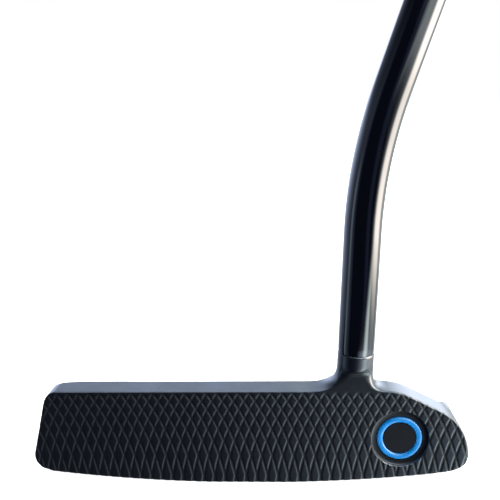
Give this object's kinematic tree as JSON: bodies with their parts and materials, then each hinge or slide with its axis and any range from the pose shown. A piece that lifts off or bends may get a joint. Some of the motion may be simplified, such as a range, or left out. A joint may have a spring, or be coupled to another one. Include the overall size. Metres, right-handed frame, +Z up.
{
  "type": "blade putter",
  "caption": "Right-handed blade golf putter: black milled steel head with a diamond-cut face, an integral neck, a bent black steel shaft and a pistol grip.",
  "frame": {"origin": "middle of the flat landing on the sole", "axes": "+Z up with the club at address, -Y the way the face looks and the ball goes, +X from toe to heel"},
  "size_m": [0.3596, 0.0364, 0.8183],
  "materials": {
    "black_milled_steel": "fine satin black coating over milled carbon steel",
    "blue_enamel": "glossy blue enamel fill",
    "white_enamel": "glossy white enamel fill",
    "black_chrome_steel": "mirror black coating on drawn steel tube",
    "epoxy": "cured amber epoxy",
    "tape": "matte double-sided paper tape",
    "grip_rubber": "matte moulded rubber with a fine pattern",
    "cap_rubber": "smooth hard rubber"
  },
  "bodies": {
    "root": {"putter_head": "black_milled_steel", "face_ring_enamel": "blue_enamel", "sight_line_enamel": "white_enamel", "shaft": "black_chrome_steel", "shaft_bond": "epoxy", "grip_tape": "tape", "grip": "grip_rubber", "grip_cap": "cap_rubber"}
  },
  "joints": []
}
